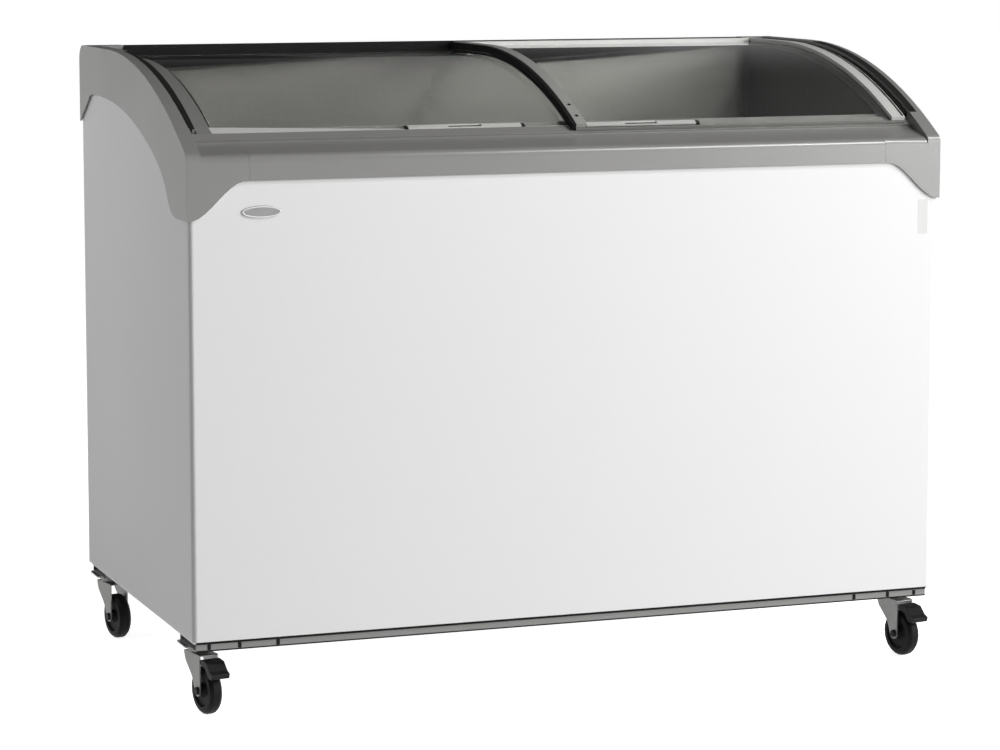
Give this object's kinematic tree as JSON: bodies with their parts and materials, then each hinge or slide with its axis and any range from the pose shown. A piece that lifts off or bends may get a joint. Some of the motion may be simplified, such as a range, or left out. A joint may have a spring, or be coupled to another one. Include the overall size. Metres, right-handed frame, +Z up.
{
  "type": "chest freezer",
  "caption": "White chest freezer on swivel casters, with a sloping curved top of two sliding glass lids in grey plastic trim.",
  "frame": {"origin": "on the floor under the middle of the cabinet's overall box", "axes": "+X along the width to the right as seen from the front, +Y to the rear, +Z up; the front is -Y"},
  "size_m": [1.28, 0.7, 1.02],
  "materials": {
    "white_steel": "white powder coat, smooth satin",
    "zinc_steel": "zinc-plated pressed steel",
    "liner_steel": "stucco-embossed grey aluminium sheet",
    "foam": "rigid polyurethane foam",
    "copper_pipe": "drawn copper tube",
    "grey_trim": "satin warm grey moulded plastic",
    "light_trim": "satin light grey plastic profile",
    "base_steel": "grey painted folded steel",
    "black_rubber": "matt black rubber",
    "wheel_rubber": "black hard rubber caster wheel",
    "lid_glass": "clear curved tempered glass",
    "black_plastic": "black moulded plastic",
    "compressor_steel": "black enamelled steel"
  },
  "bodies": {
    "cabinet": {"outer_shell": "white_steel", "rear_panel": "white_steel", "bottom_panel": "zinc_steel", "inner_liner": "liner_steel", "foam_insulation": "foam", "machine_bay_sheet": "zinc_steel", "evaporator_pipe": "copper_pipe", "condenser_pipe": "copper_pipe", "end_cap_left": "grey_trim", "end_cap_right": "grey_trim", "front_rail": "grey_trim", "rear_rail": "grey_trim", "slot_gasket_left": "black_rubber", "slot_gasket_right": "black_rubber", "badge_plate": "zinc_steel", "rear_grille": "black_plastic", "thermostat_body": "black_plastic", "cord_gland": "black_plastic", "compressor": "compressor_steel", "compressor_foot_1": "black_rubber", "compressor_foot_2": "black_rubber", "compressor_foot_3": "black_rubber", "compressor_foot_4": "black_rubber", "relay_box": "black_plastic", "drain_plug": "black_plastic", "drain_pipe": "light_trim", "base_rail_front": "base_steel", "base_rail_rear": "base_steel", "caster_plate_front_left": "zinc_steel", "caster_plate_front_right": "zinc_steel", "caster_plate_rear_left": "zinc_steel", "caster_plate_rear_right": "zinc_steel"},
    "lower_lid": {"lower_lid_glass": "lid_glass", "lower_lid_rear_profile": "grey_trim", "lower_lid_outer_profile": "grey_trim", "lower_lid_inner_profile": "black_plastic", "lower_lid_handle": "light_trim"},
    "upper_lid": {"upper_lid_glass": "lid_glass", "upper_lid_rear_profile": "light_trim", "upper_lid_outer_profile": "light_trim", "upper_lid_centre_profile": "light_trim", "upper_lid_seal": "black_rubber", "upper_lid_handle": "light_trim"},
    "knob": {"thermostat_knob": "black_plastic"},
    "swivel_front_left": {"caster_fork_front_left": "zinc_steel", "caster_axle_front_left": "zinc_steel"},
    "wheel_front_left": {"caster_wheel_front_left": "wheel_rubber"},
    "swivel_front_right": {"caster_fork_front_right": "zinc_steel", "caster_axle_front_right": "zinc_steel"},
    "wheel_front_right": {"caster_wheel_front_right": "wheel_rubber"},
    "swivel_rear_left": {"caster_fork_rear_left": "zinc_steel", "caster_axle_rear_left": "zinc_steel"},
    "wheel_rear_left": {"caster_wheel_rear_left": "wheel_rubber"},
    "swivel_rear_right": {"caster_fork_rear_right": "zinc_steel", "caster_axle_rear_right": "zinc_steel"},
    "wheel_rear_right": {"caster_wheel_rear_right": "wheel_rubber"},
    "pedal_front_left": {"caster_pedal_front_left": "black_plastic"},
    "pedal_front_right": {"caster_pedal_front_right": "black_plastic"}
  },
  "joints": [
    {"name": "lower_lid_slide", "type": "slide", "parent": "cabinet", "child": "lower_lid", "axis": [1, 0, 0], "range_m": [0, 0.56]},
    {"name": "upper_lid_slide", "type": "slide", "parent": "cabinet", "child": "upper_lid", "axis": [1, 0, 0], "range_m": [-0.56, 0]},
    {"name": "thermostat_turn", "type": "hinge", "parent": "cabinet", "child": "knob", "pos_m": [0.4, 0.34, 0.175], "axis": [0, 1, 0], "range_deg": [0, 270]},
    {"name": "swivel_front_left_turn", "type": "hinge", "parent": "cabinet", "child": "swivel_front_left", "pos_m": [-0.606, -0.268, 0.1], "axis": [0, 0, 1], "continuous": true},
    {"name": "wheel_front_left_spin", "type": "hinge", "parent": "swivel_front_left", "child": "wheel_front_left", "pos_m": [-0.60114, -0.29557, 0.038], "axis": [0.9848, 0.1736, 0], "continuous": true},
    {"name": "swivel_front_right_turn", "type": "hinge", "parent": "cabinet", "child": "swivel_front_right", "pos_m": [0.606, -0.268, 0.1], "axis": [0, 0, 1], "continuous": true},
    {"name": "wheel_front_right_spin", "type": "hinge", "parent": "swivel_front_right", "child": "wheel_front_right", "pos_m": [0.61086, -0.29557, 0.038], "axis": [0.9848, 0.1736, 0], "continuous": true},
    {"name": "swivel_rear_left_turn", "type": "hinge", "parent": "cabinet", "child": "swivel_rear_left", "pos_m": [-0.606, 0.316, 0.1], "axis": [0, 0, 1], "continuous": true},
    {"name": "wheel_rear_left_spin", "type": "hinge", "parent": "swivel_rear_left", "child": "wheel_rear_left", "pos_m": [-0.60114, 0.28842, 0.038], "axis": [0.9848, 0.1736, 0], "continuous": true},
    {"name": "swivel_rear_right_turn", "type": "hinge", "parent": "cabinet", "child": "swivel_rear_right", "pos_m": [0.606, 0.316, 0.1], "axis": [0, 0, 1], "continuous": true},
    {"name": "wheel_rear_right_spin", "type": "hinge", "parent": "swivel_rear_right", "child": "wheel_rear_right", "pos_m": [0.61086, 0.28842, 0.038], "axis": [0.9848, 0.1736, 0], "continuous": true},
    {"name": "pedal_front_left_press", "type": "hinge", "parent": "swivel_front_left", "child": "pedal_front_left", "pos_m": [-0.59853, -0.31035, 0.0845], "axis": [0.9848, 0.1736, 0], "range_deg": [0, 8]},
    {"name": "pedal_front_right_press", "type": "hinge", "parent": "swivel_front_right", "child": "pedal_front_right", "pos_m": [0.61347, -0.31035, 0.0845], "axis": [0.9848, 0.1736, 0], "range_deg": [0, 8]}
  ]
}
